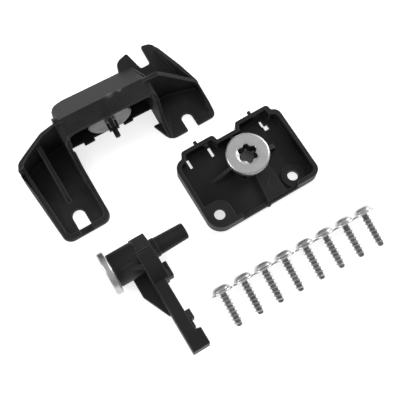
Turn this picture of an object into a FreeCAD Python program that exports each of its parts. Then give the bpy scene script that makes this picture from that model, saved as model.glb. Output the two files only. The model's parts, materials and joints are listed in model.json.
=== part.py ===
import FreeCAD, Part
import math
import os

V = FreeCAD.Vector

# Bracket kit laid out on a bench, all lengths in mm, +Z up, bench top at z = 0.
# The layout is measured in a plain bench frame and then moved so that the
# origin is the bottom centre of the kit's bounding box.
kitShift = V(0.55, -10.49, 0)

# ---- adjusters (flanged threaded sleeves with a T50 drive)
flangeRadius = 10.0
flangeThick = 3.4
flangeRound = 0.8
shankRadius = 5.95              # M12 thread drawn at its outside diameter
threadClearance = 0.05          # radial, shank to insert
socketRadius = 4.47             # T50, 8.95 across the points
socketInner = 3.2
socketDepth = 5.0
boreRadius = 2.7                # blind hollow of the sleeve, from the shank's end
webThick = 1.6                  # between that hollow and the socket
insertOuter = 7.0
washerOuter = 7.15
washerInner = 6.05
washerThick = 1.0
axialGap = 0.2                  # between faces that turn or slide apart
bossRadius = 7.7
recessRadius = 7.35             # counterbore that hides the washer
recessDepth = 1.1

# ---- tray
trayCorner = V(-3.4, -18.9, 0)
trayWidth = 56.2
trayDepth = 37.7
trayHeight = 8.0
trayWall = 2.0
trayFloor = 2.0
trayFrontHeight = 3.4           # the front wall is low between the two corners
trayBoss = V(27.0, 3.6, 0)
trayBossTop = 11.7
pocketReach = 3.1               # how far the two pockets stand out at the back
pocketLeft = (4.9, 23.8)
pocketRight = (33.7, 52.8)
locatorRadius = 0.88
locatorLength = 1.7
screwHoleRadius = 2.5
screwHoleX = (6.2, 45.5)
screwHoleY = 6.5
cornerPadX = 12.4
cornerPadY = 13.0
shelfThick = 2.0
lowPadRadius = 5.6
plateauHeight = 2.4
trayFootRound = 1.2             # outer rounding along the tray's lower edge

# ---- lever
leverAxisY = -11.3
leverAxisZ = flangeRadius
flangeX = -53.7                 # outer face of the lever's flange
hubLeft = -38.5
hubRight = -31.0
armRight = -32.8
endRight = -30.4
armBottom = 3.0
armTop = 13.0
hubTop = 18.0
hubCurve = 10.0                 # the hub's back falls to the arm on this radius
hubCurveY = -17.4
armEndY = -59.0
spigotEnd = -14.4
spigotRootRadius = 4.2
spigotTipRadius = 3.75

# ---- saddle
saddleHeight = 25.6
plateThick = 2.0
saddleWall = 2.0
ceilingThick = 1.5
hoodTurn = -2.0                 # the hood stands slightly askew of the leg
hoodPivot = V(-17, 55, 0)
mouthY = 46.6
creaseY = 55.6
rearY = 75.4
hoodFloorY = 51.3
hoodFloor = 1.6
hoodLeft = -40.6
hoodLeftBase = -38.2
hoodRight = 5.4
hoodRightBase = 8.0
shoulderLeft = 4.5              # outer rounding of the hood's upper side edges
shoulderRight = 3.0
discRadius = 10.8
discThick = 3.0
discCentre = V(-17.6, 49.3, 12.9)
discTurn = -4.0                 # the adjuster's axis about Z, from -Y
pinLength = 5.0
footSlotWidth = 6.0
footSlotX = -50.9
wingSlotWidth = 5.3
wingSlotX = 15.45

# ---- screws for plastic, 4.0 x 16
screwCount = 8
screwLength = 16.0
threadRadius = 2.0
coreRadius = 1.38
threadPitch = 1.79
headFlangeRadius = 5.05
headFlangeThick = 0.9
domeRadius = 4.4
domeTopRadius = 2.3
headHeight = 3.3
recessT20 = (1.95, 1.4, 2.0)    # outer radius, inner radius, depth
screwFirst = V(-14.4, -42.6, 0)
screwSpacing = 10.4
screwDrift = (0.2, 0.4, 0.3, 0.15, 0.6, 0.5, 0.35, 0.2)  # loose screws, not evenly spaced
rowTurn = -1.75
screwTilt = 11.3                # lying on the edge of the flange and on the tip


def face(points):
    return Part.Face(Part.makePolygon(points + [points[0]]))


def prismZ(points, z0, z1):
    return face([V(x, y, z0) for x, y in points]).extrude(V(0, 0, z1 - z0))


def prismX(points, x0, x1):
    return face([V(x0, y, z) for y, z in points]).extrude(V(x1 - x0, 0, 0))


def prismY(points, y0, y1):
    return face([V(x, y0, z) for x, z in points]).extrude(V(0, y1 - y0, 0))


def box(x0, x1, y0, y1, z0, z1):
    return Part.makeBox(x1 - x0, y1 - y0, z1 - z0, V(x0, y0, z0))


def roundedWire(corners, z):
    """Closed wire through corners (x, y, radius) with arcs at the corners."""
    edges = []
    count = len(corners)
    ends = []
    for i in range(count):
        x, y, r = corners[i]
        here = V(x, y, z)
        before = (V(corners[i - 1][0], corners[i - 1][1], z) - here).normalize()
        nextCorner = corners[(i + 1) % count]
        after = (V(nextCorner[0], nextCorner[1], z) - here).normalize()
        if r <= 0:
            ends.append((here, here, None))
            continue
        half = before.getAngle(after) / 2
        reach = r / math.tan(half)
        start, stop = here + before * reach, here + after * reach
        middle = here + (before + after).normalize() * (r / math.sin(half) - r)
        ends.append((start, stop, middle))
    for i in range(count):
        start, stop, middle = ends[i]
        if middle is not None:
            edges.append(Part.Arc(start, middle, stop).toShape())
        following = ends[(i + 1) % count][0]
        if (following - stop).Length > 1e-6:
            edges.append(Part.makeLine(stop, following))
    return Part.Wire(Part.__sortEdges__(edges))


def roundedPrism(corners, z0, z1):
    return Part.Face(roundedWire(corners, z0)).extrude(V(0, 0, z1 - z0))


def revolve(profile):
    """Solid of revolution about Z from a closed (radius, z) profile."""
    return face([V(r, 0, z) for r, z in profile]).revolve(V(0, 0, 0), V(0, 0, 1), 360)


def starPrism(outer, inner, z0, z1):
    """Six-lobed drive recess."""
    points = []
    for k in range(24):
        angle = math.radians(15 * k)
        r = (inner + outer) / 2 + (outer - inner) / 2 * math.cos(6 * angle)
        points.append((r * math.cos(angle), r * math.sin(angle)))
    return prismZ(points, z0, z1)


def placed(shape, origin, direction, turn=0):
    """Moves a shape built on +Z so that its Z axis points along direction."""
    spin = FreeCAD.Rotation(V(0, 0, 1), turn)
    aim = FreeCAD.Rotation(V(0, 0, 1), direction)
    result = shape.copy()
    result.Placement = FreeCAD.Placement(origin, aim.multiply(spin))
    return result


def sleeve(shankLength):
    """Flanged sleeve: outer face of the flange at z = 0, shank toward -Z."""
    r, t, c = flangeRadius, flangeThick, flangeRound
    body = revolve([(0, -0.25), (socketRadius + 0.7, -0.25), (socketRadius + 1.3, 0),
                    (r - c, 0), (r - 0.25 * c, -0.3 * c), (r, -c), (r, -t + c),
                    (r - 0.25 * c, -t + 0.3 * c), (r - c, -t), (shankRadius, -t),
                    (shankRadius, -t - shankLength + 0.8), (shankRadius - 0.8, -t - shankLength),
                    (0, -t - shankLength)])
    body = body.cut(starPrism(socketRadius, socketInner, -socketDepth, 1))
    hollow = t + shankLength - socketDepth - webThick
    bore = Part.makeCylinder(boreRadius, hollow + 1, V(0, 0, -t - shankLength - 1))
    return body.cut(bore)


def washer():
    """Thrust washer under the flange, top face axialGap / 2 below the flange."""
    top = -flangeThick - axialGap / 2
    return ring(washerInner, washerOuter, top - washerThick, top)


def ring(inner, outer, z0, z1):
    return Part.makeCylinder(outer, z1 - z0, V(0, 0, z0)).cut(
        Part.makeCylinder(inner, z1 - z0 + 2, V(0, 0, z0 - 1)))


def insert(top, bottom):
    body = ring(shankRadius + threadClearance, insertOuter, bottom, top)
    middle = (top + bottom) / 2
    groove = ring(insertOuter - 0.35, insertOuter + 1, middle - 0.6, middle + 0.6)
    return body.cut(groove)


def adjuster(shankLength, insertTop, insertBottom):
    return {"sleeve": sleeve(shankLength), "washer": washer(),
            "insert": insert(insertTop, insertBottom)}


def trayShell():
    """Shallow tray with rounded corners and two pockets that stand out at the back."""
    w, d, h, t = trayWidth, trayDepth, trayHeight, trayWall
    p0, p1 = pocketLeft
    q0, q1 = pocketRight
    back = d + pocketReach
    outline = [(0, 0, 7.2), (w, 0, 4.2), (w, d - 1.2, 4.0), (q1 + 0.3, d, 0.8),
               (q1 - 0.2, back, 1.8), (q0 + 1.6, back, 1.2), (q0, d, 0.6),
               (p1, d, 0.6), (p1 - 0.5, back, 1.8), (p0 + 1.6, back, 1.4),
               (p0, d, 0.8), (0.2, d - 1.0, 5.0)]
    inner = [(t, t, 5.4), (w - t, t, 2.6), (w - t, d - 1.2 - t, 2.4), (q1 - t + 0.2, d - t, 0.4),
             (q1 - t - 0.2, back - t, 0.8), (q0 + t + 0.6, back - t, 0.5),
             (q0 + 1.0, d - t, 0.5), (p1 - 0.9, d - t, 0.5), (p1 - t - 0.5, back - t, 0.8),
             (p0 + t + 0.6, back - t, 0.5), (p0 + 1.2, d - t, 0.4),
             (t + 0.2, d - 1.0 - t, 3.2)]
    body = roundedPrism(outline, 0, h)
    low = [e for e in body.Edges if abs(e.BoundBox.ZMax) < 1e-6 and e.BoundBox.YMax < d - 3]
    body = body.makeFillet(trayFootRound, low)
    body = body.cut(roundedPrism(inner, trayFloor, h + 1))
    # the front wall drops between the raised corner and the right corner
    dip = prismX([(-1, trayFrontHeight), (t + 0.01, trayFrontHeight), (t + 0.01, h + 1),
                  (-1, h + 1)], cornerPadX + 2.5, w - 12.5)
    return body.cut(dip)


def trayPads(body):
    """Raised corner round the left screw hole, hollow underneath, and a low pad at the right one."""
    t, h, x, y = trayWall, trayHeight, cornerPadX, cornerPadY
    pad = roundedPrism([(0, 0, 7.2), (x, 0, 0), (x + 0.2, y, 5.5), (0, y, 0)], trayFloor, h)
    hollow = roundedPrism([(t, t, 5.4), (x - t, t, 1), (x - t, y - t, 3.5), (t, y - t, 1)],
                          -1, h - shelfThick)
    disc = Part.makeCylinder(lowPadRadius, 1.0, V(screwHoleX[1], screwHoleY, trayFloor - 0.01))
    return body.fuse(pad).cut(hollow).fuse(disc)


def trayRibs(body, bx, by):
    """Plateau, boss and the three ribs that hold it."""
    plateau = prismZ([(28.5, 1.0), (38.7, 1.0), (38.7, by - 1), (31.6, by - 1)],
                     trayFloor - 0.01, trayFloor + plateauHeight)
    body = body.fuse(plateau)
    body = body.cut(Part.makeCylinder(2.0, 1, V(35.4, 7.7, trayFloor + plateauHeight - 0.2)))
    body = body.fuse(Part.makeCylinder(bossRadius, trayBossTop, V(bx, by, 0)))
    sideRib = prismY([(11.4, trayFloor - 0.5), (bx - 5, trayFloor - 0.5), (bx - 5, 9.6),
                      (bx - 7.2, 9.6)], by - 0.9, by + 0.9)
    rightRib = prismY([(bx + 5, 1.5), (bx + 15, 1.5), (bx + 15, 5.6), (bx + 5, 7.5)],
                      by - 1.4, by + 1.2)
    backRib = box(bx - 0.9, bx + 0.7, by + 5, trayDepth - 0.5, 1.5, 7.2)
    return body.fuse([sideRib, rightRib, backRib])


def trayPlate():
    h = trayHeight
    bx, by = trayBoss.x - trayCorner.x, trayBoss.y - trayCorner.y
    body = trayRibs(trayPads(trayShell()), bx, by)
    # gate mark on the front edge
    body = body.fuse(prismZ([(27.2, 0.5), (28.3, -0.55), (29.6, -0.4), (30.2, 0.5)], 0.8, 2.6))
    # locator pins on the pockets
    for x in (pocketLeft[0] + 9.5, pocketRight[0] + 9.8):
        pin = Part.makeCylinder(locatorRadius, locatorLength + 0.6,
                                V(x, trayDepth + pocketReach - 0.6, h - 1.1), V(0, 1, 0))
        body = body.fuse(pin)
    # screw holes and the small windows in the floor
    for x in screwHoleX:
        body = body.cut(Part.makeCylinder(screwHoleRadius, h + 2, V(x, screwHoleY, -1)))
    windows = [(7.2, 8.6, 33.4, 38.2), (18.7, 20.2, 33.4, 38.4), (46.3, 47.7, 34.2, 37.4),
               (46.8, 49.2, 31.8, 34.3)]
    for x0, x1, y0, y1 in windows:
        body = body.cut(box(x0, x1, y0, y1, -1, trayFloor + 1))
    # stepped bore of the boss: washer recess, insert seat, clearance below
    seat = V(bx, by, 0)
    body = body.cut(Part.makeCylinder(recessRadius, 5, seat + V(0, 0, trayBossTop - recessDepth)))
    body = body.cut(Part.makeCylinder(insertOuter, 8.0, seat + V(0, 0, trayBossTop - 9.1)))
    body = body.cut(Part.makeCylinder(shankRadius + 0.35, 20, seat - V(0, 0, 1)))
    body.translate(trayCorner)
    return body.removeSplitter()


def leverArm():
    y0, z0 = leverAxisY, leverAxisZ
    x0 = flangeX + flangeThick + axialGap
    along = V(1, 0, 0)
    boss = Part.makeCylinder(bossRadius, hubLeft - x0 + 1, V(x0, y0, z0), along)
    # hub and arm seen along the axis: points are (y, z)
    curve = [(hubCurveY - hubCurve * math.sin(math.radians(a)),
              hubTop - hubCurve + hubCurve * math.cos(math.radians(a))) for a in range(0, 61, 6)]
    hub = prismX([(-2.9, 10.5), (-11.0, hubTop)] + curve +
                 [(-26.6, armBottom), (-15, 2.2), (-6.0, 3.2), (-2.9, 6.6)], hubLeft, hubRight)
    groove = box(hubLeft - 1, hubRight + 1, -12.2, -11.4, hubTop - 0.5, hubTop + 1)
    arm = prismX([(-20, armTop), (armEndY, armTop), (armEndY, armBottom), (-20, armBottom)],
                 hubLeft, armRight)
    body = boss.fuse([hub.cut(groove), arm])
    end = prismZ([(hubLeft, armEndY), (endRight, armEndY), (endRight, armEndY + 7.7),
                  (armRight - 1, armEndY + 8.4), (hubLeft, armEndY + 8.4)], armBottom, armTop)
    body = body.fuse(end)
    # the two stops on the arm's edge and the one on the hub
    body = body.fuse(box(armRight - 1, endRight - 0.1, -46.4, -41.9, 5, armTop - 1))
    body = body.fuse(box(hubRight - 1, -28.7, -26.4, -19.2, 6, 12.5))
    body = body.fuse(box(armRight - 1, armRight + 0.9, -50.2, -46.2, 5, armTop - 1.5))
    # web between boss and arm
    web = prismZ([(-44.7, -17), (-44.7, -27.2), (-39.0, -40.0), (-37, -40.0), (-37, -12),
                  (-44.7, -12)], 5.0, 8.0)
    body = body.fuse(web)
    # gusset from the boss to the hub, round at its outer end
    gusset = prismZ([(-45.0, -13.6), (-45.0, -15.5), (-38.2, -18.6), (-38.2, -16.4)], 12, 17.6)
    body = body.fuse([gusset, Part.makeCylinder(0.95, 5.6, V(-45.0, -14.55, 12))])
    # collar and tapering spigot
    body = body.fuse(Part.makeCylinder(4.45, 3.4, V(hubRight - 1, y0, z0), along))
    spigot = Part.makeCone(spigotRootRadius, spigotTipRadius, spigotEnd - hubRight - 0.4,
                           V(hubRight, y0, z0), along)
    tip = Part.makeCone(spigotTipRadius, spigotTipRadius - 0.4, 0.4,
                        V(spigotEnd - 0.4, y0, z0), along)
    body = body.fuse([spigot, tip])
    # bevel along the arm's left upper edge
    bevel = prismY([(hubLeft - 1, armTop + 1), (hubLeft - 1, armTop - 0.5), (hubLeft, armTop - 0.5),
                    (hubLeft + 0.5, armTop), (hubLeft + 0.5, armTop + 1)], armEndY - 1, -27.5)
    body = body.cut(bevel)
    # stepped bore
    body = body.cut(Part.makeCylinder(recessRadius, 1.3, V(x0 - 0.2, y0, z0), along))
    body = body.cut(Part.makeCylinder(insertOuter, 9.1, V(x0 - 0.01, y0, z0), along))
    body = body.cut(Part.makeCylinder(shankRadius + 0.35, 10.6, V(x0 - 0.01, y0, z0), along))
    return body.removeSplitter()


def saddleLeg():
    """Channel-shaped leg: floor, low rim, tall oblique wall at the back, gusset and cheek."""
    outer = [(-61.6, 12.2, 4.2), (-38.4, 12.2, 4.2), (-38.4, 56.0, 0), (-48.1, 56.2, 6),
             (-57.8, 53.4, 5), (-63.0, 51.9, 2.5), (-64.8, 48.2, 3)]
    inner = [(-59.3, 15.0, 3), (-40.4, 15.0, 3), (-40.9, 55.0, 0), (-48.6, 54.2, 6),
             (-57.4, 51.4, 4), (-61.4, 49.6, 2)]
    plate = roundedPrism(outer, 0, plateThick)
    ringWall = roundedPrism(outer, 0, saddleHeight).cut(roundedPrism(inner, -1, saddleHeight + 1))
    low = prismX([(0, 0), (0, 3.0), (20, 3.4), (36, 5.6), (50, 9.5), (60, 10), (60, 0)], -70, -30)
    tall = prismY([(-70, 0), (-70, 13.5), (-64, 14.5), (-57, 18.5), (-48, 22.8), (-41, saddleHeight),
                   (-30, saddleHeight), (-30, 0)], 48.6, 60)
    body = plate.fuse([ringWall.common(low), ringWall.common(tall)])
    # the left rim leans inward
    lean = prismY([(-68, 0), (-64.9, 0), (-62.3, 16), (-62.3, 30), (-68, 30)], 0, 48.4)
    lean.rotate(V(-64.9, 50, 0), V(0, 0, 1), 4.8)
    body = body.cut(lean)
    gusset = prismX([(54, 1), (28.8, 1), (28.8, 2.2), (31, 4.0), (44, 11.5), (52, 18), (54, 18)],
                    -52.5, -50.4)
    cheek = prismX([(33, 1), (33, 4.6), (38, 5.6), (40.4, 9), (42.6, 15), (44.6, 21),
                    (mouthY, saddleHeight), (57.2, saddleHeight), (60, 22), (60, 1)], -40.9, -38.4)
    return body.fuse([gusset, cheek])


def saddleWing():
    """Slotted wing: plate, oblique wall, right rim and the cheek beside the mouth."""
    plate = [(-0.9, 62, 0), (-0.9, 74.6, 2), (0.9, 80.2, 5), (7.5, 81.9, 1.0), (9.7, 71.2, 1.4),
             (14.7, 71.2, 1.4), (15.2, 81.9, 1.0), (20.3, 80.6, 4), (22.3, 75.6, 4),
             (25.0, 60.0, 4), (28.3, 50.2, 1), (28.2, 31.8, 2.6), (3.6, 31.8, 5.0),
             (0.1, 41.4, 1), (-2.2, 50.0, 0), (-2.2, 54, 0)]
    body = roundedPrism(plate, 0, plateThick)
    oblique = prismZ([(4.0, 54.9), (14.6, 54.7), (28.1, 50.6), (28.3, 48.4), (27.0, 48.6),
                      (13.8, 52.4), (4.0, 52.7)], 0, saddleHeight)
    slope = prismY([(0, 0), (0, saddleHeight), (10, saddleHeight), (14.6, 20.0), (27.2, 7.5),
                    (30, 6.5), (30, 0)], 40, 60)
    # the rim starts behind the front edge and grows toward the oblique wall
    rim = prismZ([(26.2, 34.0), (28.2, 34.0), (28.25, 50.4), (26.5, 50.4)], 0, 10)
    rim = rim.common(prismX([(30, 0), (34, 2.2), (38, 4.2), (50, 6.6), (52, 6.6), (52, 0)], 20, 32))
    fold = prismZ([(20.0, 78.6), (21.4, 78.3), (22.2, 75.6), (24.9, 60.0), (28.0, 50.6), (26.2, 50.6),
                   (23.1, 60), (20.5, 75.2)], 0, 12)
    fold = fold.common(prismX([(50, 0), (50, 7.2), (60, 9.2), (77.5, 2.2), (79, 0)], 15, 32))
    cheek = prismX([(32.6, 1), (33.4, 2.6), (37.5, 4.6), (40.6, 10), (42.8, 17.5), (44.6, 23),
                    (mouthY, saddleHeight), (54, saddleHeight), (56, 1)], 3.2, 5.2)
    return body.fuse([oblique.common(slope), rim, fold, cheek])


def hoodBlock(inset, floor, top, front):
    """Plan shape of the hood cut by its side profile, all faces moved in by inset."""
    plan = [(hoodLeft + inset, front, 0.3), (hoodRight - inset, front, 0.3),
            (hoodRight - inset, creaseY, 1), (hoodRightBase - inset, rearY - 0.6 - inset, 5.5 - inset),
            (hoodLeftBase + inset, rearY - inset, 8.5 - inset),
            (hoodLeft + inset, creaseY, 1)]
    side = [(front, floor), (front, top), (creaseY - inset * 0.7, top),
            (rearY - inset * 1.45, 2.0), (rearY - inset * 1.45, floor)]
    shape = roundedPrism(plan, floor, top)
    return shape.common(prismX(side, hoodLeft - 9, hoodRightBase + 9))


def hoodCap(slope):
    """Long slab under the hood's top plane, or its slope, with the side edges rounded."""
    deep, long = 70, 80
    cap = roundedPrism([(hoodLeft, -deep, 0), (hoodRight + slope / 25, -deep, 0),
                        (hoodRight + slope / 25, 0, shoulderRight), (hoodLeft, 0, shoulderLeft)],
                       -long, long)
    cap.rotate(V(0, 0, 0), V(1, 0, 0), 90 - slope)
    cap.translate(V(0, creaseY, saddleHeight))
    return cap


def saddleHood():
    hood = hoodBlock(0, 0, saddleHeight, mouthY)
    void = hoodBlock(saddleWall, hoodFloor, saddleHeight - ceilingThick, mouthY - 4)
    # the mouth's upper corners are rounded
    arch = [(hoodLeft + 2, -1), (hoodLeft + 2, 19), (hoodLeft + 3.2, 22.3), (hoodLeft + 6, 24.1),
            (hoodRight - 5, 24.1), (hoodRight - 2.8, 22.8), (hoodRight - 2, 20), (hoodRight - 2, -1)]
    void = void.common(prismY(arch, 30, creaseY - 4).fuse(
        prismY([(-60, -1), (-60, 40), (30, 40), (30, -1)], creaseY - 4, 90)))
    front = box(hoodLeft + saddleWall, hoodRight - saddleWall, mouthY - 4, hoodFloorY, -1, plateThick + 1)
    void = void.fuse(front)
    slope = math.degrees(math.atan2(saddleHeight - 2.0, rearY - creaseY))
    cap = hoodCap(0).common(hoodCap(slope))
    # the two oblique walls run into the hood along the crease, and fill its shoulders there
    r, wall = shoulderLeft, 1.9
    ends = [box(hoodLeft, hoodLeft + r, creaseY - wall, creaseY, saddleHeight - r, saddleHeight),
            box(hoodRight - r, hoodRight, creaseY - wall, creaseY, saddleHeight - r, saddleHeight)]
    # what the rounded shoulders take off the cheeks in front of those walls
    shoulders = box(hoodLeft - 1, hoodLeft + r, 36, creaseY - wall, saddleHeight - r, saddleHeight + 1)
    shoulders = shoulders.fuse(box(hoodRight - r, hoodRight + 1, 36, creaseY - wall,
                                   saddleHeight - r, saddleHeight + 1)).cut(cap)
    result = []
    for shape in (hood.common(cap).fuse(ends), void, shoulders):
        turned = shape.copy()
        turned.rotate(hoodPivot, V(0, 0, 1), hoodTurn)
        result.append(turned)
    return result


def saddleAxis():
    a = math.radians(discTurn)
    return V(math.sin(a), -math.cos(a), 0)


def saddleBracket():
    hood, void, shoulders = saddleHood()
    body = saddleLeg().fuse([saddleWing(), hood]).cut([void, shoulders])
    # boss inside the hood, square to the disc
    axis = saddleAxis()
    start = discCentre - axis * (discThick + axialGap + 0.3)
    boss = Part.makeCylinder(8.6, 22, start, axis * -1).common(hood)
    block = box(discCentre.x - 6, discCentre.x + 6, start.y + 1, 72, 0, 8).common(hood)
    body = body.fuse([boss, block])
    body = body.cut(Part.makeCylinder(recessRadius, 1.3, start + axis * 0.2, axis * -1))
    body = body.cut(Part.makeCylinder(insertOuter, 6.4, start, axis * -1))
    body = body.cut(Part.makeCylinder(shankRadius + 0.25, 7.2, start, axis * -1))
    # slots: closed by a thin bridge in the foot, open at both ends of the wing
    r = footSlotWidth / 2
    body = body.cut(box(footSlotX - r, footSlotX + r, 15.5, 21.4, -1, 12))
    body = body.cut(Part.makeCylinder(r, 14, V(footSlotX, 21.3, -1)))
    body = body.cut(box(footSlotX - r, footSlotX + r, 10, 16, 1.2, 12))
    w = wingSlotWidth / 2
    body = body.cut(box(wingSlotX - w, wingSlotX + w, 25, 37.4, -1, 20))
    body = body.cut(Part.makeCylinder(w, 20, V(wingSlotX, 37.3, -1)))
    # two small catches on the front edge of the hood's floor
    body = body.fuse(box(-32.2, -26.8, hoodFloorY - 1.2, hoodFloorY + 1, 0, hoodFloor))
    body = body.fuse(box(-11.5, -6.5, hoodFloorY - 1.4, hoodFloorY + 1, 0, hoodFloor))
    return body.removeSplitter()


def saddleDisc():
    """Grey disc with its threaded stem and a flat tongue in the middle."""
    r, t = discRadius, discThick
    body = revolve([(0, -0.1), (3.0, -0.1), (r - 3.4, 0.0), (r - 1.0, -0.6), (r - 0.2, -1.0), (r, -1.5),
                    (r, -t + 0.5), (r - 0.5, -t), (shankRadius, -t), (shankRadius, -t - 5.8),
                    (shankRadius - 0.8, -t - 6.6), (0, -t - 6.6)])
    tongue = box(-1.05, 1.05, -0.5, 0.5, -1, 3.1)
    return body.fuse(tongue).removeSplitter()


def saddlePin():
    """Black pin that forks over the tongue."""
    rod = Part.makeCylinder(1.25, pinLength, V(0, 0, 3.3))
    rod = rod.makeFillet(0.3, [e for e in rod.Edges if abs(e.BoundBox.ZMin - 3.3 - pinLength) < 1e-6])
    arms = [box(s * 1.85 - 0.6, s * 1.85 + 0.6, -0.9, 0.9, 0.35, 3.6) for s in (-1, 1)]
    bridge = box(-2.45, 2.45, -0.9, 0.9, 3.25, 4.3)
    return rod.fuse(arms + [bridge]).removeSplitter()


def screw():
    """Washer-head screw: underside of the flange at z = 0, tip toward -Z."""
    head = [(0, headHeight), (domeTopRadius, headHeight), (3.2, headHeight - 0.45),
            (3.8, headHeight - 1.0), (4.2, headHeight - 1.7), (domeRadius, headFlangeThick + 0.1),
            (domeRadius + 0.2, headFlangeThick), (headFlangeRadius, headFlangeThick - 0.25),
            (headFlangeRadius, 0.0), (coreRadius + 0.5, 0.12), (coreRadius, -0.5)]
    profile = list(head)
    z = -1.0
    while z > -screwLength + 1.4:
        profile += [(coreRadius, z), (threadRadius, z - 0.3), (threadRadius, z - 0.36),
                    (coreRadius, z - 0.66)]
        z -= threadPitch
    profile += [(coreRadius, -screwLength + 0.5), (coreRadius - 0.45, -screwLength),
                (0, -screwLength)]
    body = revolve(profile)
    outer, inner, depth = recessT20
    return body.cut(starPrism(outer, inner, headHeight - depth, headHeight + 1))


def export(name, shape):
    shape = shape.copy()
    if len(shape.Solids) == 1:
        shape = shape.Solids[0]
    shape.translate(kitShift)
    assert shape.isValid() and len(shape.Solids) == 1, name
    box = shape.BoundBox
    print("%-16s %8.1f mm3  x %.2f %.2f  y %.2f %.2f  z %.2f %.2f" % (
        name, shape.Volume, box.XMin, box.XMax, box.YMin, box.YMax, box.ZMin, box.ZMax))
    shape.exportStep("parts/" + name + ".step")
    return box


def buildKit():
    os.makedirs("parts", exist_ok=True)
    nodes = {"tray_plate": trayPlate(), "lever_arm": leverArm(), "saddle_bracket": saddleBracket()}
    up = V(0, 0, 1)
    trayTop = trayBoss + up * (trayBossTop + axialGap + flangeThick)
    for key, shape in adjuster(10.0, -4.7, -12.5).items():
        nodes["tray_" + key] = placed(shape, trayTop, up, 12)
    leverFace = V(flangeX, leverAxisY, leverAxisZ)
    for key, shape in adjuster(10.0, -4.7, -12.5).items():
        nodes["lever_" + key] = placed(shape, leverFace, V(-1, 0, 0), 8)
    axis = saddleAxis()
    nodes["saddle_disc"] = placed(saddleDisc(), discCentre, axis)
    nodes["saddle_pin"] = placed(saddlePin(), discCentre, axis)
    low = -discThick - axialGap
    nodes["saddle_washer"] = placed(ring(washerInner, washerOuter, low - 1.15, low - 0.15),
                                    discCentre, axis)
    nodes["saddle_insert"] = placed(insert(low - 1.6, low - 6.7), discCentre, axis)
    turn = math.radians(rowTurn)
    row = V(math.cos(turn), math.sin(turn), 0)
    tilt = math.radians(screwTilt)
    aim = V(-math.sin(turn) * math.cos(tilt), math.cos(turn) * math.cos(tilt), math.sin(tilt))
    lift = headFlangeRadius * math.cos(tilt)
    for k in range(screwCount):
        at = screwFirst + row * (screwSpacing * k + screwDrift[k]) + V(0, 0, lift)
        nodes["screw_%d" % (k + 1)] = placed(screw(), at, aim, 20 * k)
    whole = FreeCAD.BoundBox()
    for name, shape in nodes.items():
        whole.add(export(name, shape))
    print("kit", whole)


buildKit()
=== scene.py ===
import bmesh
import bpy
import json
import math
from mathutils import Matrix, Vector
from mathutils.bvhtree import BVHTree

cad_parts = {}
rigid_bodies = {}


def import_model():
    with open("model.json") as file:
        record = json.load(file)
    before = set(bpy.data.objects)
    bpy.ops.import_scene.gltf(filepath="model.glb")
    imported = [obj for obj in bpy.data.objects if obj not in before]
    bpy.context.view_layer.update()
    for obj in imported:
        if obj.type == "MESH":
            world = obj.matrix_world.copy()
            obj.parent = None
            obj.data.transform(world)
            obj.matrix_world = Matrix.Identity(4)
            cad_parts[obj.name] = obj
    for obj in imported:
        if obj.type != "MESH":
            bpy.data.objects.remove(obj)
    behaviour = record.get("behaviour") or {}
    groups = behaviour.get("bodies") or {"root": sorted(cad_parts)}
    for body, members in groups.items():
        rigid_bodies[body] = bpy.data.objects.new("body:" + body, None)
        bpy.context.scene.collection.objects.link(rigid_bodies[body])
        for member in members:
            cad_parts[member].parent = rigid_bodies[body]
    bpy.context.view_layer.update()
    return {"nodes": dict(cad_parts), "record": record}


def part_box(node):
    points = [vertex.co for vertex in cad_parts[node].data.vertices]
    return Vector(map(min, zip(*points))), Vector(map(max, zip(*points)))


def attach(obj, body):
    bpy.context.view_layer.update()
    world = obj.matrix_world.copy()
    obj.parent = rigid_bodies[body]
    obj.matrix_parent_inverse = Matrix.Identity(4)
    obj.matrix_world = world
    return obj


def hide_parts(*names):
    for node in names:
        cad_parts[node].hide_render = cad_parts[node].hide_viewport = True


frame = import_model()

mm = 0.001
bodies = frame["record"]["behaviour"]["bodies"]
bodyOf = {node: body for body, nodes in bodies.items() for node in nodes}


# ---- studio: camera, floor and soft light

studio = {
    "lookAt": (0.55, -10.49, 0.0),      # mm, middle of the layout
    "azimuth": -31.0, "elevation": 72.0, "distance": 350.0, "lens": 68.985,
    "floorHalf": 2.5, "floorDrop": 0.05 * mm, "floorColour": 0.92, "floorGlow": 0.68,
    "zenith": 0.60, "horizon": 0.12,     # brightness of the tent overhead and low down
}
lamps = {                                # place in m, aimed at the middle, size in m, watts
    "rightSoftbox": ((0.85, 0.20, 0.45), 0.45, 5.5),
    "leftSoftbox": ((-0.85, 0.25, 0.45), 0.45, 4.0),
}


def aimed(location, target):
    return (Vector(target) - Vector(location)).to_track_quat("-Z", "Y").to_euler()


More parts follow.
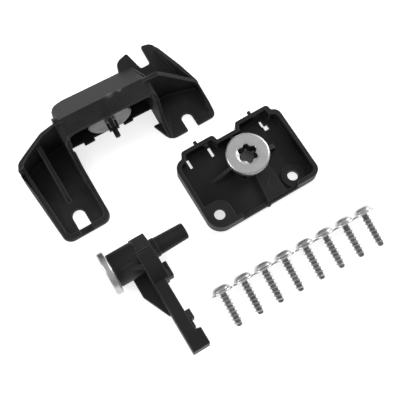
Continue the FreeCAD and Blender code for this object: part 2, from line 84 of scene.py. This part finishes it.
def setStudio():
    s = studio
    az, el = math.radians(s["azimuth"]), math.radians(s["elevation"])
    target = Vector(s["lookAt"]) * mm
    back = Vector((math.sin(az) * math.cos(el), -math.cos(az) * math.cos(el), math.sin(el)))
    bpy.ops.object.camera_add(location=target + back * s["distance"] * mm)
    camera = bpy.context.object
    camera.name = "camera"
    camera.rotation_euler = aimed(camera.location, target)
    camera.data.lens, camera.data.sensor_width = s["lens"], 36.0
    camera.data.clip_start = 0.01
    bpy.context.scene.camera = camera
    bpy.context.scene.view_settings.view_transform = "Standard"
    for name, (place, size, watts) in lamps.items():
        bpy.ops.object.light_add(type="AREA", location=place)
        lamp = bpy.context.object
        lamp.name = name
        lamp.rotation_euler = aimed(place, (0, 0, 0))
        lamp.data.size, lamp.data.energy = size, watts
    world = bpy.data.worlds.new("softTent")
    world.use_nodes = True
    nodes, links = world.node_tree.nodes, world.node_tree.links
    place, split = nodes.new("ShaderNodeTexCoord"), nodes.new("ShaderNodeSeparateXYZ")
    level = nodes.new("ShaderNodeMapRange")
    level.inputs["From Min"].default_value, level.inputs["From Max"].default_value = 0.15, 0.85
    level.inputs["To Min"].default_value, level.inputs["To Max"].default_value = s["horizon"], s["zenith"]
    links.new(place.outputs["Generated"], split.inputs[0])
    links.new(split.outputs["Z"], level.inputs["Value"])
    links.new(level.outputs[0], nodes["Background"].inputs["Strength"])
    nodes["Background"].inputs["Color"].default_value = (1, 1, 1, 1)
    bpy.context.scene.world = world
    bpy.ops.mesh.primitive_plane_add(size=2 * s["floorHalf"], location=(0, 0, -s["floorDrop"]))
    floor = bpy.context.object
    floor.name = "studio_floor"
    return floor


# ---- shader maths: a socket that adds up like a number, and one maker for every node

class Value:
    def __init__(self, finish, socket):
        self.finish, self.socket = finish, socket

    def maths(self, operation, a, b=0.0):
        return self.finish.node("ShaderNodeMath", {"operation": operation}, {0: a, 1: b})

    def __add__(self, other): return self.maths("ADD", self, other)
    def __radd__(self, other): return self.maths("ADD", other, self)
    def __sub__(self, other): return self.maths("SUBTRACT", self, other)
    def __rsub__(self, other): return self.maths("SUBTRACT", other, self)
    def __mul__(self, other): return self.maths("MULTIPLY", self, other)
    def __truediv__(self, other): return self.maths("DIVIDE", self, other)


class Finish:
    def __init__(self, name):
        self.material = bpy.data.materials.new(name)
        self.material.use_nodes = True
        self.nodes, self.links = self.material.node_tree.nodes, self.material.node_tree.links
        self.shader = self.nodes["Principled BSDF"]
        self.place = self.node("ShaderNodeTexCoord", {}, {}, "Object")

    def set(self, node, values):
        for key, value in values.items():
            socket = node.inputs[key]
            if isinstance(value, Value):
                self.links.new(value.socket, socket)
            else:
                socket.default_value = value

    def node(self, kind, settings, values, output=0):
        made = self.nodes.new(kind)
        for key, value in settings.items():
            setattr(made, key, value)
        self.set(made, values)
        return Value(self, made.outputs[output])

    def noise(self, scale, detail=2.0, rough=0.5):
        return self.node("ShaderNodeTexNoise", {}, {
            "Vector": self.place, "Scale": scale, "Detail": detail, "Roughness": rough}, "Fac")

    def mix(self, amount, low, high):
        return self.node("ShaderNodeMix", {"data_type": "RGBA"}, {0: amount, 6: low, 7: high}, 2)

    def bump(self, height, strength, distance):
        normal = self.node("ShaderNodeBump", {}, {
            "Height": height, "Strength": strength, "Distance": distance}, "Normal")
        self.set(self.shader, {"Normal": normal})

    def patch(self, centre, reach, ragged=0.5):     # 1 in an uneven patch round a point, in mm
        away = self.node("ShaderNodeVectorMath", {"operation": "DISTANCE"}, {
            0: self.place, 1: tuple(c * mm for c in centre)}, "Value")
        edge = self.noise(900.0, 2.0) * ragged + (1.0 - ragged / 2)
        return self.node("ShaderNodeMapRange", {"clamp": True}, {
            "Value": away / (reach * mm) * edge, "From Min": 1.0, "From Max": 0.25})


def grey(level, warm=0.0):
    return (level * (1 + warm), level, level * (1 - warm), 1)


# ---- finishes

plastic = {
    # the edge values set a painted highlight: a paler band along rounded edges where they catch the light
    "base": 0.004, "light": 0.050, "edgeHighlight": 1.3, "highlightReach": 0.6 * mm, "warm": 0.01,
    "roughness": 0.54, "roughSpread": 0.16,
    "gloss": 0.26, "grain": 2400.0, "flow": 60.0, "grainDepth": 0.020 * mm, "bumpStrength": 0.35,
    "highlightFrom": 0.01, "highlightTo": 0.10,     # how far a normal turns away before the edge gets the painted highlight
    "share": 0.45, "scuff": 0.9, "ragged": 0.8, "toneHighlightFrom": 0.25, "toneHighlightTo": 1.5,
}


def mouldedPlastic(name, scuffs=(), **changes):
    p = plastic | changes
    finish = Finish(name)
    finish.set(finish.shader, {"IOR": 1.5, "Specular IOR Level": p["gloss"]})
    flow = finish.noise(p["flow"], 3.0)             # slow change where the melt ran
    grain = finish.noise(p["grain"], 3.0, 0.6)
    soft = finish.node("ShaderNodeBevel", {"samples": 4}, {"Radius": p["highlightReach"]}, "Normal")
    flat = finish.node("ShaderNodeNewGeometry", {}, {}, "Normal")
    along = finish.node("ShaderNodeVectorMath", {"operation": "DOT_PRODUCT"}, {
        0: soft, 1: flat}, "Value")
    edgeHighlight = finish.node("ShaderNodeMapRange", {"clamp": True}, {      # edges are painted paler: a painted highlight where the rounded edges catch the light
        "Value": 1.0 - along, "From Min": p["highlightFrom"], "From Max": p["highlightTo"]})
    # random flow and grain tone, real scuffs and the painted edge highlight add up into one paleness
    toneAndHighlight = flow * p["share"] + grain * p["share"] + edgeHighlight * (0.4 + grain) * p["edgeHighlight"]
    for centre, reach in scuffs:
        toneAndHighlight = toneAndHighlight + finish.patch(centre, reach, p["ragged"]) * p["scuff"]
    toneAndHighlight = finish.node("ShaderNodeMapRange", {"clamp": True}, {
        "Value": toneAndHighlight, "From Min": p["toneHighlightFrom"], "From Max": p["toneHighlightTo"]})
    finish.set(finish.shader, {
        "Base Color": finish.mix(toneAndHighlight, grey(p["base"], p["warm"]), grey(p["light"], p["warm"])),
        "Roughness": p["roughness"] - p["roughSpread"] / 2 + flow * p["roughSpread"]})
    finish.bump(grain, p["bumpStrength"], p["grainDepth"])
    return finish.material


metal = {
    # thread: darker zinc for the core between thread crests, a painted shade in the gaps
    "zinc": (0.50, 0.62, 0.40), "screw": (0.42, 0.60, 0.36), "thread": (0.14, 0.30, 0.34),
    # disc: the same zinc made darker, a painted shade from the hood over it
    "disc": (0.12, 0.19, 0.40),
    # darker metal for inside the six-lobe socket: painted shade in the recess
    "socketShade": (0.05, 0.16, 0.30),
    "brass": (0.42, 0.55, 0.30), "steel": (0.40, 0.50, 0.30),      # dark, light, roughness
}


def tumbledMetal(name, kind, tint=(1.0, 1.0, 1.0), grain=2600.0, rough=0.22):
    dark, light, roughness = metal[kind]
    finish = Finish(name)
    finish.set(finish.shader, {"Metallic": 1.0})
    cloud = finish.noise(180.0, 3.0)
    fine = finish.noise(grain, 3.0, 0.65)
    tone = finish.node("ShaderNodeMapRange", {"clamp": True}, {
        "Value": cloud * 0.6 + fine * 0.4, "From Min": 0.3, "From Max": 0.7})
    low, high = [tuple(level * t for t in tint) + (1,) for level in (dark, light)]
    finish.set(finish.shader, {
        "Base Color": finish.mix(tone, low, high),
        "Roughness": roughness + (fine - 0.5) * rough})
    finish.bump(fine, rough, 0.01 * mm)
    return finish.material


def floorFinish():
    finish = Finish("floor_paper")
    finish.set(finish.shader, {"Roughness": 0.9, "Emission Color": grey(1.0),
                               "Emission Strength": studio["floorGlow"]})
    shade = studio["floorColour"]
    finish.set(finish.shader, {
        "Base Color": finish.mix(finish.noise(6.0), grey(shade), grey(shade * 0.985))})
    return finish.material


# ---- modelling helpers

def only(piece):
    bpy.ops.object.select_all(action="DESELECT")
    piece.select_set(True)
    bpy.context.view_layer.objects.active = piece


def editAll(piece):
    only(piece)
    bpy.ops.object.mode_set(mode="EDIT")
    bpy.ops.mesh.select_all(action="SELECT")


def endEdit():
    bpy.ops.object.mode_set(mode="OBJECT")


def rounded(piece, width, segments=2):                # bevels the edges that carry a weight
    bevel = piece.modifiers.new("soft_edges", "BEVEL")
    bevel.width, bevel.segments = width, segments
    bevel.limit_method, bevel.use_clamp_overlap = "WEIGHT", False
    only(piece)
    bpy.ops.object.modifier_apply(modifier=bevel.name)


def smooth(piece, angle=32.0):
    only(piece)
    bpy.ops.object.shade_smooth_by_angle(angle=math.radians(angle))


def middle(piece):
    points = [v.co for v in piece.data.vertices]
    low = Vector(min(p[i] for p in points) for i in range(3))
    high = Vector(max(p[i] for p in points) for i in range(3))
    return (low + high) / 2


def stand(piece, node, material, direction=(0, 0, 1), turn=0.0):
    piece.name = "visual_" + node
    aim = Vector((0, 0, 1)).rotation_difference(Vector(direction).normalized())
    piece.data.transform(aim.to_matrix().to_4x4() @ Matrix.Rotation(math.radians(turn), 4, "Z"))
    low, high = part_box(node)
    piece.data.transform(Matrix.Translation((low + high) / 2 - middle(piece)))
    hand(piece, node, material)


def hand(piece, node, material):
    kinds = [face.material_index for face in piece.data.polygons]
    piece.data.materials.clear()
    for each in material if isinstance(material, list) else [material]:
        piece.data.materials.append(each)
    piece.data.polygons.foreach_set("material_index", kinds)
    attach(piece, bodyOf[node])
    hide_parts(node)


# ---- turned parts: rings pulled up from one circle

def ringPlace(vertex, radius, inner, height):
    angle = math.atan2(vertex.co.y, vertex.co.x)
    reach = (radius + inner) / 2 + (radius - inner) / 2 * math.cos(6 * angle)
    vertex.co = (reach * math.cos(angle) * mm, reach * math.sin(angle) * mm, height * mm)


def turned(name, rings, segments=72):   # rings: (radius, height[, inner radius of the lobes])
    bpy.ops.object.select_all(action="DESELECT")
    bpy.ops.mesh.primitive_circle_add(vertices=segments, radius=mm, fill_type="NOTHING")
    piece = bpy.context.object
    piece.name = name
    for index, ring in enumerate(rings):
        radius, height = ring[:2]
        inner = ring[2] if len(ring) > 2 else radius
        bpy.ops.object.mode_set(mode="EDIT")
        if index:
            bpy.ops.mesh.extrude_region_move()
        else:
            bpy.ops.mesh.select_all(action="SELECT")
        bpy.ops.object.mode_set(mode="OBJECT")
        for vertex in piece.data.vertices:
            if vertex.select:
                ringPlace(vertex, radius, inner, height)
    editAll(piece)
    bpy.ops.mesh.remove_doubles(threshold=0.002 * mm)
    closeHoles(piece)
    bpy.ops.mesh.normals_make_consistent(inside=False)
    endEdit()
    return piece


def closeHoles(piece):                                # in edit mode
    bpy.ops.mesh.select_all(action="DESELECT")
    bpy.ops.mesh.select_mode(type="EDGE")
    bpy.ops.mesh.select_non_manifold()
    bpy.ops.mesh.fill_holes(sides=0)
    bpy.ops.mesh.select_mode(type="VERT")
    bpy.ops.mesh.select_all(action="SELECT")


def helix(name, t):                                   # t: root, crest, pitch, width, tip, turns, start
    bpy.ops.object.select_all(action="DESELECT")
    bpy.ops.mesh.primitive_plane_add(size=mm)
    piece = bpy.context.object
    piece.name = name
    half, tip = t["width"] / 2, t["tip"] / 2
    corners = [(t["root"], -half), (t["crest"], -tip), (t["crest"], tip), (t["root"], half)]
    for vertex, (x, z) in zip([piece.data.vertices[i] for i in (0, 1, 3, 2)], corners):
        vertex.co = (x * mm, 0, (z + t["start"]) * mm)
    editAll(piece)
    bpy.ops.mesh.delete(type="ONLY_FACE")
    endEdit()
    screw = piece.modifiers.new("winding", "SCREW")
    screw.angle, screw.iterations = 2 * math.pi, t["turns"]
    screw.screw_offset = -t["pitch"] * mm
    screw.steps = screw.render_steps = t["steps"]
    screw.axis = "Z"
    only(piece)
    bpy.ops.object.modifier_apply(modifier=screw.name)
    first, last = t["start"], t["start"] - t["pitch"] * t["turns"]
    for vertex in piece.data.vertices:                # the thread runs out into the core at both ends
        z = vertex.co.z / mm
        angle = math.atan2(vertex.co.y, vertex.co.x)
        reach = math.hypot(vertex.co.x, vertex.co.y) / mm
        fade = min(1.0, (first - z) / (0.5 * t["pitch"]) + 0.05, (z - last) / (0.6 * t["pitch"]) + 0.05)
        reach = t["root"] + (reach - t["root"]) * max(fade, 0.02)
        vertex.co.x, vertex.co.y = reach * math.cos(angle) * mm, reach * math.sin(angle) * mm
    editAll(piece)
    closeHoles(piece)
    bpy.ops.mesh.normals_make_consistent(inside=False)
    endEdit()
    return piece


def joined(name, pieces):
    only(pieces[0])
    for piece in pieces[1:]:
        piece.select_set(True)
    bpy.ops.object.join()
    pieces[0].name = name
    return pieces[0]


def copied(piece, name):
    twin = piece.copy()
    twin.data = piece.data.copy()
    twin.name = twin.data.name = name
    bpy.context.collection.objects.link(twin)
    return twin


# ---- moulded brackets: the frame's own shape with its sharp edges taken off

softEdge = {"tray_plate": 0.30, "lever_arm": 0.38, "saddle_bracket": 0.38}     # mm
outerCorner = math.radians(30)                        # edges sharper than this are softened
flatLimit, shadeLimit, cornerWeight = 0.5, 50.0, 80     # degrees, degrees, per cent
strayLimit = 0.36 * mm                                # a softened point stays this near the sharp shape


def softened(node, material):
    piece = bpy.data.objects.new("visual_" + node, frame["nodes"][node].data.copy())
    bpy.context.collection.objects.link(piece)
    editAll(piece)
    bpy.ops.mesh.remove_doubles(threshold=0.002 * mm)
    sharpShape = BVHTree.FromBMesh(bmesh.from_edit_mesh(piece.data))
    bpy.ops.mesh.dissolve_limited(angle_limit=math.radians(flatLimit))
    mesh = bmesh.from_edit_mesh(piece.data)
    weight = mesh.edges.layers.float.new("bevel_weight_edge")
    for edge in mesh.edges:
        edge[weight] = 1.0 if edge.calc_face_angle_signed(0) > outerCorner else 0.0
    bmesh.update_edit_mesh(piece.data)
    endEdit()
    rounded(piece, softEdge[node] * mm)
    for vertex in piece.data.vertices:                # very sharp corners shoot out: pull them back
        near, normal, face, distance = sharpShape.find_nearest(vertex.co)
        if distance > strayLimit:
            vertex.co = near
    evenShading(piece)
    hand(piece, node, material)
    return piece


def evenShading(piece):                               # flat faces stay flat next to their soft edges
    smooth(piece, shadeLimit)
    weighted = piece.modifiers.new("weighted", "WEIGHTED_NORMAL")
    weighted.keep_sharp, weighted.weight = True, cornerWeight
    bpy.ops.object.modifier_apply(modifier=weighted.name)


saddleScuffs = (((-13.0, 45.6, 25.6), 2.6), ((-17.5, 46.6, 25.4), 1.4), ((-8.0, 44.8, 25.6), 1.5))


# ---- adjusters: flanged threaded sleeves with a six-lobe socket, closed below it

sleeveSizes = {
    "flange": 10.0, "thick": 3.4, "socket": 4.47, "lobe": 3.2, "socketDeep": 5.0, "web": 1.6, "bore": 2.7,
    "thread": {"root": 5.2, "crest": 5.95, "pitch": 1.75, "width": 1.5, "tip": 0.25,
               "turns": 5, "start": -3.9, "steps": 48},
    "length": 13.4,
}


def makeSleeve():
    s = sleeveSizes
    r, t, core, end = s["flange"], s["thick"], s["thread"]["root"], s["length"]
    star, lobe = s["socket"], s["lobe"]
    deep, web = s["socketDeep"], s["web"]
    rings = [(0.05, -deep), (star * 0.5, -deep, lobe * 0.5), (star - 0.25, -deep, lobe - 0.25),
             (star, -deep + 0.25, lobe), (star, -0.75, lobe), (star + 0.1, -0.45, lobe + 0.12),
             (star + 0.35, -0.22, lobe + 0.6), (star + 0.7, -0.12), (star + 0.95, -0.02), (star + 1.1, 0.0),
             (r - 1.15, 0.0), (r - 0.8, -0.05), (r - 0.42, -0.2), (r - 0.14, -0.48), (r, -0.95),
             (r, -t + 0.95), (r - 0.14, -t + 0.48), (r - 0.42, -t + 0.2), (r - 0.8, -t + 0.05),
             (r - 1.15, -t), (core + 0.4, -t), (core, -t - 0.3), (core, -end + 0.8), (core - 0.8, -end),
             (s["bore"] + 0.3, -end), (s["bore"], -end + 0.3), (s["bore"], -deep - web - 0.6),
             (s["bore"] - 0.5, -deep - web), (0.05, -deep - web)]
    piece = joined("sleeve", [turned("sleeve_body", rings, 96), helix("sleeve_thread", s["thread"])])
    for face in piece.data.polygons:                  # the socket's inside takes a darker metal: painted shade in the recess
        x, y, z = face.center / mm
        if -deep - 0.1 < z < -0.3 and math.hypot(x, y) < star + 0.1:
            face.material_index = 1
    return piece


# ---- screws: washer head, six-lobe recess, coarse thread for plastic

screwSizes = {
    "flange": 5.05, "flangeThick": 0.9, "head": 3.3, "star": 1.95, "lobe": 1.4, "deep": 2.0,
    "core": 1.38, "length": 16.0, "crestFrom": 1.40,
    "thread": {"root": 1.3, "crest": 2.0, "pitch": 1.79, "width": 1.00, "tip": 0.28,
               "turns": 8, "start": -0.7, "steps": 40},
}


def makeScrew():
    s = screwSizes
    f, t, h, core, end = s["flange"], s["flangeThick"], s["head"], s["core"], s["length"]
    star, lobe = s["star"], s["lobe"]
    rings = [(0.05, h - s["deep"] - 0.25), (star * 0.6, h - s["deep"], lobe * 0.6),
             (star - 0.1, h - s["deep"] + 0.1, lobe - 0.1), (star, h - s["deep"] + 0.25, lobe),
             (star, h - 0.28, lobe), (star + 0.08, h - 0.12, lobe + 0.12),
             (star + 0.2, h - 0.02, lobe + 0.55),
             (2.35, h), (2.75, h - 0.12), (3.25, h - 0.42), (3.7, h - 0.85), (4.05, h - 1.4),
             (4.28, h - 1.95), (4.38, t + 0.18), (4.5, t + 0.04), (4.65, t - 0.02), (f - 0.25, t - 0.07),
             (f - 0.06, t - 0.2), (f, t - 0.42), (f, 0.16), (f - 0.12, 0.02), (f - 0.3, 0.0),
             (core + 0.6, 0.1), (core + 0.15, -0.1), (core, -0.5),
             (core, -end + 0.9), (core - 0.15, -end + 0.4), (core - 0.55, -end), (0.05, -end)]
    piece = joined("screw", [turned("screw_body", rings, 72), helix("screw_thread", s["thread"])])
    for face in piece.data.polygons:                  # the core between the crests takes the darker metal: painted shade in the gaps of the thread
        x, y, z = face.center / mm
        if z < -0.1 and math.hypot(x, y) < s["crestFrom"]:
            face.material_index = 1
    return piece


# ---- grey disc with its tongue, and the forked pin over it

discSizes = {"radius": 10.8, "thick": 3.0, "stem": 5.95, "stemEnd": 9.6,
             "tongue": (2.1, 1.0, 4.1), "tongueMiddle": 1.05, "tongueEdge": 0.12}


def bar(size, middleAt, edge, name="bar"):            # a block with its edges taken off, sizes in mm
    bpy.ops.object.select_all(action="DESELECT")
    bpy.ops.mesh.primitive_cube_add(size=mm)
    piece = bpy.context.object
    piece.name = name
    for vertex in piece.data.vertices:
        vertex.co = [vertex.co[i] * size[i] + middleAt[i] * mm for i in range(3)]
    editAll(piece)
    bpy.ops.mesh.bevel(offset=edge * mm, segments=2, affect="EDGES")
    endEdit()
    return piece


def makeDisc():
    s = discSizes
    r, t, stem, end = s["radius"], s["thick"], s["stem"], s["stemEnd"]
    rings = [(0.05, -0.1), (3.0, -0.1), (3.25, -0.02), (r - 3.5, 0.0), (r - 3.1, -0.08), (r - 1.2, -0.5),
             (r - 0.6, -0.78), (r - 0.2, -1.08), (r, -1.5), (r, -t + 0.55),
             (r - 0.15, -t + 0.2), (r - 0.5, -t), (stem, -t), (stem, -end + 0.8),
             (stem - 0.8, -end), (0.05, -end)]
    tongue = bar(s["tongue"], (0, 0, s["tongueMiddle"]), s["tongueEdge"])
    return joined("disc", [turned("disc_body", rings, 96), tongue])


pinSizes = {"radius": 1.25, "start": 3.3, "length": 5.0, "arm": (1.2, 1.8, 3.25), "armAt": 1.85,
            "armMiddle": 1.975,
            "bridge": (4.9, 1.8, 1.05), "bridgeMiddle": 3.775, "edge": 0.15}


def makePin():
    s = pinSizes
    r, low, high = s["radius"], s["start"], s["start"] + s["length"]
    rod = turned("rod", [(0.05, low), (r, low), (r, high - 0.45), (r - 0.08, high - 0.2),
                         (r - 0.25, high - 0.05), (r - 0.45, high), (0.05, high)], 32)
    arms = [bar(s["arm"], (side * s["armAt"], 0, s["armMiddle"]), s["edge"]) for side in (-1, 1)]
    bridge = bar(s["bridge"], (0, 0, s["bridgeMiddle"]), s["edge"])
    return merged(bridge, arms + [rod])


def merged(piece, others):                            # one skin from pieces that run into each other
    for other in others:
        union = piece.modifiers.new("union", "BOOLEAN")
        union.operation, union.solver, union.object = "UNION", "EXACT", other
        only(piece)
        bpy.ops.object.modifier_apply(modifier=union.name)
        bpy.data.objects.remove(other)
    return piece


# ---- build

floor = setStudio()
floor.data.materials.append(floorFinish())
print("studio set")

saddleFinish = mouldedPlastic("saddle_moulding", saddleScuffs, base=0.010, light=0.110, gloss=0.04)
for node, finish in (("tray_plate", mouldedPlastic("tray_moulding")),
                     ("lever_arm", mouldedPlastic("lever_moulding")),
                     ("saddle_bracket", saddleFinish)):
    softened(node, finish)
print("brackets softened")

# the second sleeve metal is darker: painted shade inside the socket
zinc, socketShade = tumbledMetal("tumbled_zinc", "zinc"), tumbledMetal("dark_drive", "socketShade")
sleeve = makeSleeve()
for node, direction, turn in (("tray_sleeve", (0, 0, 1), 12), ("lever_sleeve", (-1, 0, 0), 8)):
    stand(copied(sleeve, "visual_" + node), node, [zinc, socketShade], direction, turn)
bpy.data.objects.remove(sleeve)
print("adjusters made")

boltTilt, rowTurn, stepTurn, screwCount = 11.3, -1.75, 20, 8     # degrees, and how many
# the second screw metal is darker: painted shade for the core between the thread crests
screwMetal = [tumbledMetal("bright_zinc", "screw", grain=900.0, rough=0.04),
              tumbledMetal("thread_zinc", "thread", grain=900.0, rough=0.06)]
screwOne = makeScrew()
row, tilt = math.radians(rowTurn), math.radians(boltTilt)
aim = (-math.sin(row) * math.cos(tilt), math.cos(row) * math.cos(tilt), math.sin(tilt))
for k in range(1, screwCount + 1):
    node = "screw_%d" % k
    stand(copied(screwOne, "visual_" + node), node, screwMetal, aim, stepTurn * (k - 1))
bpy.data.objects.remove(screwOne)
print("screws made")

discTurn = math.radians(-4.0)
discAim = (math.sin(discTurn), -math.cos(discTurn), 0)
# the disc gets zinc made darker: painted shade from the hood over it
stand(makeDisc(), "saddle_disc", tumbledMetal("grey_casting", "disc"), discAim)
stand(makePin(), "saddle_pin", mouldedPlastic("clip_moulding"), discAim)
print("disc and pin made")

brass = tumbledMetal("insert_brass", "brass", (1.0, 0.78, 0.42))
steel = tumbledMetal("washer_steel", "steel")
for place in ("saddle", "tray", "lever"):
    for part, material in (("_insert", brass), ("_washer", steel)):
        cadPiece = frame["nodes"][place + part]
        cadPiece.data.materials.clear()
        cadPiece.data.materials.append(material)

for piece in bpy.data.objects:
    if piece.name.startswith("visual_") and not piece.name.endswith(tuple(softEdge)):
        if "screw" in piece.name:
            smooth(piece)
        else:
            evenShading(piece)
